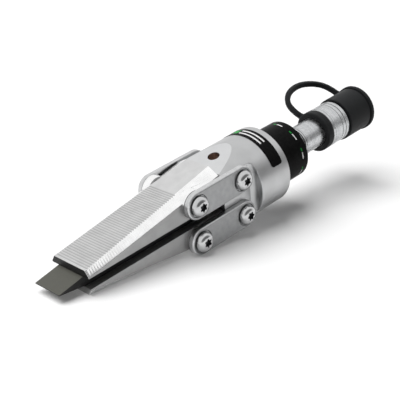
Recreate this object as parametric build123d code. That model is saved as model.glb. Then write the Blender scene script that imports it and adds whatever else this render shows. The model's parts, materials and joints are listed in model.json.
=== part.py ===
from build123d import *
import math
import os

# A hydraulic flange spreader. A piston pushes a long wedge out between two jaws, and two pairs of
# links hold the jaws back, so the jaws part and stay parallel.
# The tool is drawn along X in its own frame, in millimetres: the wedge's tip points to -X, the hose
# coupler to +X, and the body's rear rim is at x = 0. At the end every piece is turned nose-down by
# the jaws' own slope, so that the tool rests on its lower jaw.

# Body
BODY_RADIUS = 28.5
BODY_LENGTH = 58.6
BODY_EDGE = 0.9
FLATS_LENGTH = 28.9  # from the body's front face back to the shoulder
SHOULDER_FILLET = 4.0
FLAT_EDGE = 0.6  # rounding of the edges around the flats
SIDE_FLAT = 20.0  # distance of each side flat from the axis
TOP_FLAT_SLOPE = 12.1
HANDLE_HOLE_FROM_FRONT = 14.0
HANDLE_HOLE_RADIUS = 4.25
HANDLE_HOLE_DEPTH = 9.0

# Jaws
JAW_LENGTH = 114.5
JAW_SLOPE = 9.23  # outer faces and wedge faces, in degrees from the axis
JAW_FRONT_HEIGHT = 8.8  # of the outer face above the axis
JAW_WALL = 5.14  # from the outer face down to the ramp
JAW_HEEL_GAP = 1.2
JAW_TOP_FRONT = 14.8  # half width of the outer face at the front
JAW_TOP_HEEL = 10.1
JAW_SIDE_FRONT = 17.9  # half width over the side walls at the front
JAW_SIDE_HEEL = 18.7
BEVEL_DROP_FRONT = 4.3  # from the outer face to the bevel's lower edge
BEVEL_DROP_HEEL = 4.8
HALF_SLOT = 3.6  # half of the slot between the two jaws' side walls
GRIP_MARGIN = 1.5
GRIP_LENGTH = 79.5
GRIP_PITCH = 1.9
GRIP_DEPTH = 0.55

# Wedge
WEDGE_WIDTH = 23.8
WEDGE_TIP_EDGE = 0.6  # thickness of the tip's blunt edge
SLIDING_GAP = 0.3  # between wedge and jaw, and beside a link

# Links and their screws
LINK_SPAN = 41.8
LINK_WIDTH = 19.4
LINK_THICKNESS = 4.0
LINK_EDGE = 0.7
LINK_REAR_FROM_FRONT = 15.4  # from the body's front face back to the rear screws
SHOULDER_RADIUS = 5.0
THREAD_RADIUS = 4.0
THREAD_END_GAP = 0.4  # between the thread's end and the wedge's channel
TAPPED_HOLE_SPARE = 0.6
HEAD_RADIUS = 7.0
HEAD_HEIGHT = 4.0
HEAD_RIM = 0.7
LOBE_COUNT = 6
LOBE_RADIUS = 0.85
LOBE_CIRCLE = 2.4
RECESS_DEPTH = 2.4
RECESS_MARGIN = 0.3

# Cylinder, piston and rod
STROKE = 34.0
BARREL_RADIUS = 21.2
BARREL_WALL_AT_FLATS = 2.6  # its front end is thinner, where the body's side flats come close
BARREL_STEP_GAP = 3.0  # from the body's shoulder back to the barrel's step
BARREL_END_WALL = 12.0
BARREL_EDGE = 1.6
BORE_RADIUS = 15.0
INLET_RADIUS = 3.0
PISTON_LENGTH = 12.0
PISTON_END_GAP = 0.5
SEAL_GROOVE = (6.0, 9.2, 3.0)  # from the piston's front face: start, end, and its depth
GUIDE_GROOVE = (1.8, 4.6, 1.8)
GROOVE_PLAY = 0.05
PISTON_SCREW_RADIUS = 4.0
PISTON_SCREW_REACH = 14.0
PISTON_SCREW_HEAD = 6.5
PISTON_SCREW_HEAD_LENGTH = 5.0
PISTON_SCREW_SUNK = 0.2
PISTON_SCREW_KEY = 3.0
ROD_RADIUS = 8.0
ROD_EDGE = 0.8
ROD_IN_WEDGE = 15.8
ROD_IN_PISTON = 3.0
ROD_END_GAP = 0.3
BUSH_WALL = 2.0
BUSH_LENGTH = 7.6
WIPER_WALL = 4.0
WIPER_LENGTH = 3.0
WIPER_LIP = 0.8
SPRING_POCKET_DEPTH = 10.0
SPRING_POCKET_GAP = 0.7
SPRING_ROD_GAP = 1.8
SPRING_WIRE = 2.2
SPRING_TURNS = 6
SPRING_SPARE = 1.8  # left between its coils when the wedge is right out
WASHER_THICKNESS = 1.2
WASHER_ROD_GAP = 0.5
WASHER_POCKET_GAP = 0.2
RUNNING_FIT = 0.04
PRESS_FIT = 0.02
CROSS_PIN_RADIUS = 2.5
CROSS_PIN_FROM_HEEL = 8.0
CROSS_PIN_SUNK = 0.2

# Hose coupler and its valve
NECK_RADIUS = 11.3
NECK_LENGTH = 37.0
NECK_GROOVES = (4.0, 8.5, 10.5)  # behind the barrel
NECK_GROOVE_WIDTH = 0.8
NECK_GROOVE_DEPTH = 0.35
FLOW_RADIUS = 5.5
SPIGOT_RADIUS = 8.4
SPIGOT_LENGTH = 10.0
COUPLER_RADIUS = 15.4
COUPLER_COLLAR_LENGTH = 18.6
COUPLER_EDGE = 0.8
COLLAR_GROOVES = (11.0, 14.2)  # behind the collar's front edge
COLLAR_GROOVE_DEPTH = 0.4
NOSE_RADIUS = 12.4
NOSE_LENGTH = 19.4
NOSE_WALL = 3.2
VALVE_SHELF = 2.0
VALVE_SHELF_RADIUS = 6.0
VALVE_MOUTH_RADIUS = 5.0
VALVE_MOUTH_LENGTH = 4.0
VALVE_CONE_LENGTH = 4.2
VALVE_GAP = 0.15
POPPET_HEAD_LENGTH = 2.5
POPPET_STEM_RADIUS = 2.0
POPPET_STEM_LENGTH = 9.0
POPPET_SUNK = 0.6
VALVE_SPRING_RADIUS = 7.6
VALVE_SPRING_WIRE = 1.2
VALVE_SPRING_TURNS = 5

# Dust cap and strap
CAP_RADIUS = 16.6
CAP_RIM_RADIUS = 17.6
CAP_RIM_LENGTH = 3.2
CAP_LENGTH = 28.0
CAP_EDGE = 0.8
CAP_END_WALL = 4.0
CAP_END_RECESS = 1.4
CAP_END_LIP = 3.0  # width of the raised ring on the cap's end
CAP_END_SLANT = 1.0
CAP_MOUTH_GAP = 1.0
CAP_FIT = 0.3
RING_LENGTH = 6.2
RING_RADIUS = 15.5
RING_EDGE = 0.8
STRAP_DIAMETER = 4.8
STRAP_TILT = 57.0  # angle of the strap's plane from the vertical, towards the far side
STRAP_ROOT_IN_RING = 3.5
STRAP_ROOT_IN_CAP = 3.4

# Labels, left bare
BODY_BAND_START = -16.0
BODY_BAND_END = -5.8
BODY_BAND_HALF_ANGLE = 68.0
BAND_THICKNESS = 0.3
BAND_CORNER = 2.0
SLEEVE_START = 0.3

# Places worked out from the sizes above
slope = math.tan(math.radians(JAW_SLOPE))
body_front = -BODY_LENGTH
shoulder_x = body_front + FLATS_LENGTH
handle_hole_x = body_front + HANDLE_HOLE_FROM_FRONT
heel_x = body_front - JAW_HEEL_GAP
jaw_front_x = heel_x - JAW_LENGTH
channel_half = WEDGE_WIDTH / 2 + SLIDING_GAP
link_z = HALF_SLOT + LINK_WIDTH / 2
link_rear_x = body_front + LINK_REAR_FROM_FRONT
link_front_x = link_rear_x - LINK_SPAN
link_inner = SIDE_FLAT + SLIDING_GAP
head_seat = link_inner + LINK_THICKNESS + SLIDING_GAP
thread_reach = SIDE_FLAT - channel_half - THREAD_END_GAP
bush_radius = ROD_RADIUS + BUSH_WALL
wiper_radius = ROD_RADIUS + WIPER_WALL
spring_radius = ROD_RADIUS + SPRING_ROD_GAP + SPRING_WIRE / 2
spring_pocket_radius = spring_radius + SPRING_WIRE / 2 + SPRING_POCKET_GAP
pocket_front = body_front + WIPER_LENGTH + BUSH_LENGTH
spring_seat = pocket_front + WASHER_THICKNESS
spring_solid_length = (SPRING_TURNS + 1) * SPRING_WIRE
piston_front = spring_seat + spring_solid_length + SPRING_SPARE + STROKE
piston_rear = piston_front + PISTON_LENGTH
chamber_rear = piston_rear + PISTON_END_GAP
rod_end = piston_front + ROD_IN_PISTON
screw_head_front = piston_rear - PISTON_SCREW_SUNK - PISTON_SCREW_HEAD_LENGTH
barrel_front = pocket_front + SPRING_POCKET_DEPTH
barrel_rear = chamber_rear + BARREL_END_WALL
barrel_step = shoulder_x + BARREL_STEP_GAP
barrel_front_radius = BORE_RADIUS + BARREL_WALL_AT_FLATS
neck_end = barrel_rear + NECK_LENGTH
nose_start = neck_end + COUPLER_COLLAR_LENGTH
nose_end = nose_start + NOSE_LENGTH
valve_shelf_end = neck_end + SPIGOT_LENGTH + VALVE_SHELF
valve_room_radius = NOSE_RADIUS - NOSE_WALL
valve_cone_end = nose_end - VALVE_MOUTH_LENGTH
valve_cone_start = valve_cone_end - VALVE_CONE_LENGTH
poppet_back = valve_cone_start - POPPET_HEAD_LENGTH
cap_bore = NOSE_RADIUS + CAP_FIT
cap_start = nose_start + CAP_MOUTH_GAP
cap_end = cap_start + CAP_LENGTH
ring_start = neck_end - RING_LENGTH

# The strap's route in its own plane: (x, distance from the axis), from the ring to the cap
ROUTE = [
    (ring_start + 3.0, 17.0),
    (ring_start + 0.4, 27.0),
    (ring_start + 9.0, 37.6),
    (ring_start + 24.5, 40.6),
    (ring_start + 38.5, 35.8),
    (cap_end - 6.0, 27.0),
    (cap_end - 4.4, 18.4),
]


def jaw_outer(x):
    """Height of the jaw's outer face above the axis."""
    return JAW_FRONT_HEIGHT + slope * (x - jaw_front_x)


def ramp(x):
    """Height of the jaw's inner ramp, which slides on the wedge."""
    return jaw_outer(x) - JAW_WALL


def wedge_face(x):
    """Height of the wedge's sloping face above the axis."""
    return ramp(x) - SLIDING_GAP / math.cos(math.radians(JAW_SLOPE))


def body_flat(x):
    """Height of the sloping flat on top of the body."""
    return BODY_RADIUS - math.tan(math.radians(TOP_FLAT_SLOPE)) * (shoulder_x - x)


tip_x = jaw_front_x - (wedge_face(jaw_front_x) - WEDGE_TIP_EDGE / 2) / slope


# Shapes that several pieces share

def turned(outline):
    """A solid turned about the tool's axis from (x, radius) points."""
    face = make_face(Polyline(*[(x, 0, radius) for x, radius in outline], close=True))
    return revolve(face, axis=Axis.X, revolution_arc=360)


def sleeve(x_start, x_end, inner, outer):
    return turned([(x_start, inner), (x_end, inner), (x_end, outer), (x_start, outer)])


def side_prism(outline, half_width):
    """A prism across the tool from (x, z) points."""
    face = make_face(Polyline(*[(x, 0, z) for x, z in outline], close=True))
    return extrude(face, amount=half_width, dir=(0, 1, 0), both=True)


def cross_rod(x, z, y_start, y_end, radius):
    """A round rod or hole that runs across the tool, parallel to Y."""
    side = math.copysign(1, y_end - y_start)
    start = Plane(origin=(x, y_start, z), x_dir=(1, 0, 0), z_dir=(0, side, 0))
    return extrude(start * Circle(radius), amount=abs(y_end - y_start))


def coil(x_start, x_end, mean_radius, wire, turns):
    """A coil spring between two planes, touching both."""
    height = x_end - x_start - wire
    path = Helix(pitch=height / turns, height=height, radius=mean_radius)
    section = Plane(origin=path @ 0, z_dir=path % 0) * Circle(wire / 2)
    spring = sweep(section, path=path)
    return Pos(x_start + wire / 2, 0, 0) * Rot(0, 90, 0) * spring


def mirrored(shape):
    """The same shape below the axis."""
    return mirror(shape, about=Plane.XY)


# Body and cylinder

def sloping_flat_cut():
    """The material above the sloping flat, from in front of the body to where the flat runs out."""
    reach = 2.0
    high = BODY_RADIUS + reach
    outline = [
        (body_front - reach, body_flat(body_front - reach)),
        (shoulder_x + reach, body_flat(shoulder_x + reach)),
        (shoulder_x + reach, high),
        (body_front - reach, high),
    ]
    return side_prism(outline, BODY_RADIUS)


def side_flat_cut(side):
    """The material beside one side flat, with the fillet at the shoulder."""
    reach = 2.0
    length = FLATS_LENGTH + reach
    depth = BODY_RADIUS + reach - SIDE_FLAT
    cut = Pos(shoulder_x - length / 2, SIDE_FLAT + depth / 2, 0) * Box(length, depth, 2 * BODY_RADIUS + reach)
    inner_corner = cut.edges().filter_by(Axis.Z).sort_by(lambda edge: edge.center().X - edge.center().Y)[-1]
    cut = fillet(inner_corner, SHOULDER_FILLET)
    return cut if side > 0 else mirror(cut, about=Plane.XZ)


def flat_edges(body):
    """The edges between the flats and the round body, behind its front face's small corners."""
    front_limit = body_front + BODY_EDGE + FLAT_EDGE

    def on_round_body(edge):
        middle = edge @ 0.5
        near_surface = math.hypot(middle.Y, middle.Z) > BODY_RADIUS - FLAT_EDGE
        return near_surface and front_limit < middle.X < shoulder_x + SHOULDER_FILLET

    return body.edges().filter_by(on_round_body)


def handle_hole_frame():
    """The plane of the sloping flat at the threaded hole, facing out of the body."""
    tilt = math.radians(TOP_FLAT_SLOPE)
    normal = (-math.sin(tilt), 0, math.cos(tilt))
    return Plane(origin=(handle_hole_x, 0, body_flat(handle_hole_x)), x_dir=(0, 1, 0), z_dir=normal)


def head_body():
    body = turned([
        (body_front, 0),
        (body_front, BODY_RADIUS - BODY_EDGE),
        (body_front + BODY_EDGE, BODY_RADIUS),
        (-BODY_EDGE, BODY_RADIUS),
        (0, BODY_RADIUS - BODY_EDGE),
        (0, 0),
    ])
    top_cut = sloping_flat_cut()
    body -= top_cut
    body -= mirrored(top_cut)
    for side in (1, -1):
        body -= side_flat_cut(side)
    body = fillet(flat_edges(body), FLAT_EDGE)
    thread_end = SIDE_FLAT - thread_reach - TAPPED_HOLE_SPARE
    for side in (1, -1):
        for z in (link_z, -link_z):
            body -= cross_rod(link_rear_x, z, side * SIDE_FLAT, side * thread_end, THREAD_RADIUS + PRESS_FIT)
    beyond = 1.0
    body -= sleeve(barrel_step, beyond, 0, BARREL_RADIUS + PRESS_FIT)
    body -= sleeve(barrel_front, barrel_step, 0, barrel_front_radius + PRESS_FIT)
    body -= sleeve(pocket_front, barrel_front, 0, spring_pocket_radius)
    body -= sleeve(body_front - beyond, pocket_front, 0, bush_radius + PRESS_FIT)
    body -= sleeve(body_front - beyond, body_front + WIPER_LENGTH, 0, wiper_radius + PRESS_FIT)
    body -= extrude(handle_hole_frame() * Circle(HANDLE_HOLE_RADIUS), amount=-HANDLE_HOLE_DEPTH)
    return body


def cylinder_barrel():
    return turned([
        (barrel_front, BORE_RADIUS),
        (barrel_front, barrel_front_radius),
        (barrel_step, barrel_front_radius),
        (barrel_step, BARREL_RADIUS),
        (barrel_rear - BARREL_EDGE, BARREL_RADIUS),
        (barrel_rear, BARREL_RADIUS - BARREL_EDGE),
        (barrel_rear, SPIGOT_RADIUS + PRESS_FIT),
        (barrel_rear - SPIGOT_LENGTH, SPIGOT_RADIUS + PRESS_FIT),
        (barrel_rear - SPIGOT_LENGTH, INLET_RADIUS),
        (chamber_rear, INLET_RADIUS),
        (chamber_rear, BORE_RADIUS),
    ])


def sleeve_band():
    """The bare wrap around the part of the barrel that shows."""
    inner = BARREL_RADIUS + PRESS_FIT
    return sleeve(SLEEVE_START, barrel_rear - BARREL_EDGE, inner, BARREL_RADIUS + BAND_THICKNESS)


def marking_band():
    """A bare label wrapped over the top of the body, with rounded corners."""
    inner = BODY_RADIUS + PRESS_FIT
    outer = BODY_RADIUS + BAND_THICKNESS
    outline = [
        (BODY_BAND_START, 0, inner),
        (BODY_BAND_END, 0, inner),
        (BODY_BAND_END, 0, outer),
        (BODY_BAND_START, 0, outer),
    ]
    start = Rot(-BODY_BAND_HALF_ANGLE, 0, 0) * make_face(Polyline(*outline, close=True))
    band = revolve(start, axis=Axis.X, revolution_arc=2 * BODY_BAND_HALF_ANGLE)
    short_edges = band.edges().filter_by(lambda edge: edge.length < 2 * BAND_THICKNESS)
    return fillet(short_edges, BAND_CORNER)


def rod_bush():
    return sleeve(body_front + WIPER_LENGTH, pocket_front, ROD_RADIUS + RUNNING_FIT, bush_radius)


def rod_wiper():
    return turned([
        (body_front, ROD_RADIUS + RUNNING_FIT),
        (body_front + WIPER_LENGTH, ROD_RADIUS + WIPER_LIP),
        (body_front + WIPER_LENGTH, wiper_radius),
        (body_front, wiper_radius),
    ])


def spring_washer():
    outer = spring_pocket_radius - WASHER_POCKET_GAP
    return sleeve(pocket_front, spring_seat, ROD_RADIUS + WASHER_ROD_GAP, outer)


def return_spring():
    return coil(spring_seat, piston_front, spring_radius, SPRING_WIRE, SPRING_TURNS)


# Everything that the piston drives

def piston():
    beyond = 1.0
    outer = BORE_RADIUS - RUNNING_FIT
    outline = [(piston_front, 0), (piston_front, outer)]
    for start, end, depth in (GUIDE_GROOVE, SEAL_GROOVE):
        floor = BORE_RADIUS - depth
        outline += [
            (piston_front + start, outer),
            (piston_front + start, floor),
            (piston_front + end, floor),
            (piston_front + end, outer),
        ]
    outline += [(piston_rear, outer), (piston_rear, 0)]
    body = turned(outline)
    body -= sleeve(piston_front - beyond, rod_end, 0, ROD_RADIUS + PRESS_FIT)
    body -= sleeve(piston_front, piston_rear, 0, PISTON_SCREW_RADIUS + PRESS_FIT)
    body -= sleeve(screw_head_front, piston_rear + beyond, 0, PISTON_SCREW_HEAD + PRESS_FIT)
    return body


def groove_ring(groove):
    """The seal or guide ring that fills one of the piston's grooves."""
    start, end, depth = groove
    ring_front = piston_front + start + GROOVE_PLAY
    ring_rear = piston_front + end - GROOVE_PLAY
    return sleeve(ring_front, ring_rear, BORE_RADIUS - depth + PRESS_FIT, BORE_RADIUS - PRESS_FIT)


def piston_screw():
    head_rear = screw_head_front + PISTON_SCREW_HEAD_LENGTH
    key_depth = PISTON_SCREW_HEAD_LENGTH * 0.6
    screw = turned([
        (rod_end - PISTON_SCREW_REACH, 0),
        (rod_end - PISTON_SCREW_REACH, PISTON_SCREW_RADIUS),
        (screw_head_front, PISTON_SCREW_RADIUS),
        (screw_head_front, PISTON_SCREW_HEAD),
        (head_rear, PISTON_SCREW_HEAD),
        (head_rear, 0),
    ])
    key = Plane(origin=(head_rear, 0, 0), z_dir=(-1, 0, 0)) * RegularPolygon(PISTON_SCREW_KEY, 6)
    return screw - extrude(key, amount=key_depth)


def cross_pin_hole():
    beyond = 1.0
    half = WEDGE_WIDTH / 2 + beyond
    return cross_rod(heel_x - CROSS_PIN_FROM_HEEL, 0, -half, half, CROSS_PIN_RADIUS + PRESS_FIT)


def piston_rod():
    rod_front = heel_x - ROD_IN_WEDGE
    rod = turned([
        (rod_front, 0),
        (rod_front, ROD_RADIUS - ROD_EDGE),
        (rod_front + ROD_EDGE, ROD_RADIUS),
        (rod_end, ROD_RADIUS),
        (rod_end, 0),
    ])
    drill_tip = 1.0
    rod -= sleeve(rod_end - PISTON_SCREW_REACH - drill_tip, rod_end, 0, PISTON_SCREW_RADIUS + PRESS_FIT)
    return rod - cross_pin_hole()


def wedge_pin():
    half = WEDGE_WIDTH / 2 - CROSS_PIN_SUNK
    return cross_rod(heel_x - CROSS_PIN_FROM_HEEL, 0, -half, half, CROSS_PIN_RADIUS)


def wedge():
    beyond = 1.0
    edge = WEDGE_TIP_EDGE / 2
    height = wedge_face(heel_x)
    outline = [(tip_x, -edge), (heel_x, -height), (heel_x, height), (tip_x, edge)]
    body = side_prism(outline, WEDGE_WIDTH / 2)
    body -= sleeve(heel_x - ROD_IN_WEDGE - ROD_END_GAP, heel_x + beyond, 0, ROD_RADIUS + PRESS_FIT)
    return body - cross_pin_hole()


# Jaws, links and screws

def jaw_section(x, top_half, side_half, bevel_drop):
    """The jaw's section, with its bevels drawn past the outer face, where outer_face_cut ends them."""
    overshoot = 1.2
    bevel_start = jaw_outer(x) - bevel_drop
    bevel_end = bevel_start + overshoot * bevel_drop
    end_half = side_half + overshoot * (top_half - side_half)
    outline = [
        (x, -side_half, HALF_SLOT),
        (x, -side_half, bevel_start),
        (x, -end_half, bevel_end),
        (x, end_half, bevel_end),
        (x, side_half, bevel_start),
        (x, side_half, HALF_SLOT),
    ]
    return make_face(Polyline(*outline, close=True))


def outer_face_cut():
    """All above the jaw's outer face: saw-toothed over the crosswise ridges, and flat elsewhere."""
    beyond = 1.0
    above = 3.0
    beside = 2.0
    before = jaw_front_x - beyond
    behind = heel_x + beyond
    start = jaw_front_x + GRIP_MARGIN
    count = round(GRIP_LENGTH / GRIP_PITCH)
    outline = [(before, jaw_outer(before))]
    for index in range(count):
        crest = start + index * GRIP_PITCH
        root = crest + GRIP_PITCH / 2
        outline.append((crest, jaw_outer(crest)))
        outline.append((root, jaw_outer(root) - GRIP_DEPTH))
    end = start + count * GRIP_PITCH
    outline.append((end, jaw_outer(end)))
    outline.append((behind, jaw_outer(behind)))
    outline.append((behind, jaw_outer(behind) + above))
    outline.append((before, jaw_outer(before) + above))
    return side_prism(outline, JAW_SIDE_HEEL + beside)


def upper_jaw():
    beyond = 1.0
    front = jaw_section(jaw_front_x, JAW_TOP_FRONT, JAW_SIDE_FRONT, BEVEL_DROP_FRONT)
    heel = jaw_section(heel_x, JAW_TOP_HEEL, JAW_SIDE_HEEL, BEVEL_DROP_HEEL)
    jaw = loft([front, heel], ruled=True)
    boss_start = (JAW_SIDE_FRONT + channel_half) / 2
    for side in (1, -1):
        jaw += cross_rod(link_front_x, link_z, side * boss_start, side * SIDE_FLAT, LINK_WIDTH / 2)
    before = jaw_front_x - beyond
    behind = heel_x + beyond
    channel = [(before, -beyond), (behind, -beyond), (behind, ramp(behind)), (before, ramp(before))]
    jaw -= side_prism(channel, channel_half)
    for side in (1, -1):
        inside = side * (channel_half - beyond)
        outside = side * (SIDE_FLAT + beyond)
        jaw -= cross_rod(link_front_x, link_z, inside, outside, THREAD_RADIUS + PRESS_FIT)
    return jaw - outer_face_cut()


def link(side, level):
    """One link plate: side is 1 or -1 along Y, level is 1 for the upper jaw and -1 for the lower."""
    beyond = 1.0
    middle = (link_rear_x + link_front_x) / 2
    face = Plane(origin=(middle, side * link_inner, level * link_z), x_dir=(1, 0, 0), z_dir=(0, side, 0))
    plate = extrude(face * SlotCenterToCenter(LINK_SPAN, LINK_WIDTH), amount=LINK_THICKNESS)
    outer_face = plate.faces().sort_by(Axis.Y)[-1 if side > 0 else 0]
    plate = fillet(outer_face.edges(), LINK_EDGE)
    near = side * (link_inner - beyond)
    far = side * (link_inner + LINK_THICKNESS + beyond)
    for x in (link_rear_x, link_front_x):
        plate -= cross_rod(x, level * link_z, near, far, SHOULDER_RADIUS + RUNNING_FIT)
    return plate


def shoulder_screw():
    """A button-head shoulder screw on Z, its head's underside at z = 0."""
    shoulder_length = head_seat - SIDE_FLAT
    top_flat = LOBE_CIRCLE + LOBE_RADIUS + RECESS_MARGIN
    dome_middle = (HEAD_RADIUS * 0.84, 0, HEAD_HEIGHT * 0.68)
    straight = Polyline(
        (top_flat, 0, HEAD_HEIGHT),
        (0, 0, HEAD_HEIGHT),
        (0, 0, -shoulder_length - thread_reach),
        (THREAD_RADIUS, 0, -shoulder_length - thread_reach),
        (THREAD_RADIUS, 0, -shoulder_length),
        (SHOULDER_RADIUS, 0, -shoulder_length),
        (SHOULDER_RADIUS, 0, 0),
        (HEAD_RADIUS, 0, 0),
        (HEAD_RADIUS, 0, HEAD_RIM),
    )
    dome = ThreePointArc((HEAD_RADIUS, 0, HEAD_RIM), dome_middle, (top_flat, 0, HEAD_HEIGHT))
    screw = revolve(make_face(straight + dome), axis=Axis.Z, revolution_arc=360)
    recess = Circle(LOBE_CIRCLE)
    for location in PolarLocations(LOBE_CIRCLE, LOBE_COUNT):
        recess += location * Circle(LOBE_RADIUS)
    return screw - extrude(Pos(0, 0, HEAD_HEIGHT) * recess, amount=-RECESS_DEPTH)


def screws_at(x, level):
    """The pair of screws, one on each side, at one end of a pair of links."""
    pattern = shoulder_screw()
    pair = []
    for side in (1, -1):
        seat = Plane(origin=(x, side * head_seat, level * link_z), x_dir=(1, 0, 0), z_dir=(0, side, 0))
        pair.append(seat * pattern)
    return pair


# Hose coupler, cap and strap

def coupler_nipple():
    outline = [(barrel_rear - SPIGOT_LENGTH, FLOW_RADIUS), (barrel_rear - SPIGOT_LENGTH, SPIGOT_RADIUS)]
    outline += [(barrel_rear, SPIGOT_RADIUS), (barrel_rear, NECK_RADIUS)]
    for start in NECK_GROOVES:
        groove_start = barrel_rear + start
        groove_end = groove_start + NECK_GROOVE_WIDTH
        outline += [
            (groove_start, NECK_RADIUS),
            (groove_start, NECK_RADIUS - NECK_GROOVE_DEPTH),
            (groove_end, NECK_RADIUS - NECK_GROOVE_DEPTH),
            (groove_end, NECK_RADIUS),
        ]
    outline += [(neck_end, NECK_RADIUS), (neck_end, SPIGOT_RADIUS)]
    outline += [(neck_end + SPIGOT_LENGTH, SPIGOT_RADIUS), (neck_end + SPIGOT_LENGTH, FLOW_RADIUS)]
    return turned(outline)


def coupler_body():
    spigot_end = neck_end + SPIGOT_LENGTH
    outline = [
        (neck_end, SPIGOT_RADIUS + PRESS_FIT),
        (neck_end, COUPLER_RADIUS - COUPLER_EDGE),
        (neck_end + COUPLER_EDGE, COUPLER_RADIUS),
    ]
    for start in COLLAR_GROOVES:
        groove_start = neck_end + start
        outline += [
            (groove_start, COUPLER_RADIUS),
            (groove_start + COLLAR_GROOVE_DEPTH, COUPLER_RADIUS - COLLAR_GROOVE_DEPTH),
            (groove_start + 2 * COLLAR_GROOVE_DEPTH, COUPLER_RADIUS),
        ]
    outline += [
        (nose_start - COUPLER_EDGE, COUPLER_RADIUS),
        (nose_start, COUPLER_RADIUS - COUPLER_EDGE),
        (nose_start, NOSE_RADIUS),
        (nose_end - COUPLER_EDGE, NOSE_RADIUS),
        (nose_end, NOSE_RADIUS - COUPLER_EDGE),
        (nose_end, VALVE_MOUTH_RADIUS),
        (valve_cone_end, VALVE_MOUTH_RADIUS),
        (valve_cone_start, valve_room_radius),
        (valve_shelf_end, valve_room_radius),
        (valve_shelf_end, VALVE_SHELF_RADIUS),
        (spigot_end, VALVE_SHELF_RADIUS),
        (spigot_end, SPIGOT_RADIUS + PRESS_FIT),
    ]
    return turned(outline)


def coupler_poppet():
    nose_radius = VALVE_MOUTH_RADIUS - VALVE_GAP
    head_radius = valve_room_radius - VALVE_GAP
    return turned([
        (poppet_back - POPPET_STEM_LENGTH, 0),
        (poppet_back - POPPET_STEM_LENGTH, POPPET_STEM_RADIUS),
        (poppet_back, POPPET_STEM_RADIUS),
        (poppet_back, head_radius),
        (valve_cone_start, head_radius),
        (valve_cone_end, nose_radius),
        (nose_end - POPPET_SUNK, nose_radius),
        (nose_end - POPPET_SUNK, 0),
    ])


def coupler_spring():
    return coil(valve_shelf_end, poppet_back, VALVE_SPRING_RADIUS, VALVE_SPRING_WIRE, VALVE_SPRING_TURNS)


def strap_point(point):
    """A point of the strap's plane in the tool's frame."""
    x, distance = point
    tilt = math.radians(STRAP_TILT)
    return Vector(x, distance * math.sin(tilt), distance * math.cos(tilt))


def strap_radii(points):
    """The largest bend at each corner that its two runs allow."""
    radii = []
    for before, corner, after in zip(points, points[1:], points[2:]):
        into, out = corner - before, after - corner
        shorter = min(into.length, out.length)
        half_turn = math.radians(into.get_angle(out)) / 2
        radii.append(0.45 * shorter / math.tan(half_turn))
    return radii


def cap_strap():
    points = [strap_point(point) for point in ROUTE]
    radii = strap_radii(points)
    print("strap bend radii", [round(radius, 1) for radius in radii])
    path = FilletPolyline(*points, radius=radii)
    section = Plane(origin=path @ 0, z_dir=path % 0) * Circle(STRAP_DIAMETER / 2)
    strap = sweep(section, path=path)
    straight_volume = math.pi * STRAP_DIAMETER ** 2 / 4 * path.length
    print("strap length", round(path.length, 1), "volume ratio", round(strap.volume / straight_volume, 4))
    return strap


def strap_root(end, towards, length):
    """The moulded root of the strap, from its end face back into the ring or cap."""
    direction = strap_point(end) - strap_point(towards)
    face = Plane(origin=strap_point(end), z_dir=direction)
    return extrude(face * Circle(STRAP_DIAMETER / 2), amount=length)


def strap_ring():
    inner = NECK_RADIUS + PRESS_FIT
    ring = turned([
        (ring_start, inner),
        (ring_start, RING_RADIUS - RING_EDGE),
        (ring_start + RING_EDGE, RING_RADIUS),
        (neck_end - RING_EDGE, RING_RADIUS),
        (neck_end, RING_RADIUS - RING_EDGE),
        (neck_end, inner),
    ])
    return ring + strap_root(ROUTE[0], ROUTE[1], STRAP_ROOT_IN_RING)


def dust_cap():
    rim_start = cap_end - CAP_RIM_LENGTH
    lip_radius = CAP_RIM_RADIUS - CAP_END_LIP
    cap = turned([
        (cap_start, cap_bore),
        (cap_start, CAP_RADIUS - CAP_EDGE),
        (cap_start + CAP_EDGE, CAP_RADIUS),
        (rim_start - CAP_EDGE, CAP_RADIUS),
        (rim_start, CAP_RIM_RADIUS),
        (cap_end - CAP_EDGE, CAP_RIM_RADIUS),
        (cap_end, CAP_RIM_RADIUS - CAP_EDGE),
        (cap_end, lip_radius),
        (cap_end - CAP_END_RECESS, lip_radius - CAP_END_SLANT),
        (cap_end - CAP_END_RECESS, 0),
        (cap_end - CAP_END_WALL, 0),
        (cap_end - CAP_END_WALL, cap_bore),
    ])
    return cap + strap_root(ROUTE[-1], ROUTE[-2], STRAP_ROOT_IN_CAP)


# The tool's frame in the part's frame

def tool_to_row():
    """Nose-down by the jaws' slope, resting at z = 0, with the origin under the tool's middle."""
    tilt = math.radians(JAW_SLOPE)
    lift = jaw_outer(heel_x) * math.cos(tilt) - heel_x * math.sin(tilt)
    front = tip_x * math.cos(tilt) - WEDGE_TIP_EDGE / 2 * math.sin(tilt)
    side_corner = (cap_end - CAP_EDGE) * math.cos(tilt) + CAP_RIM_RADIUS * math.sin(tilt)
    end_corner = cap_end * math.cos(tilt) + (CAP_RIM_RADIUS - CAP_EDGE) * math.sin(tilt)
    rear = max(side_corner, end_corner)
    return Pos(-(front + rear) / 2, 0, lift) * Rot(0, -JAW_SLOPE, 0)


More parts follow.
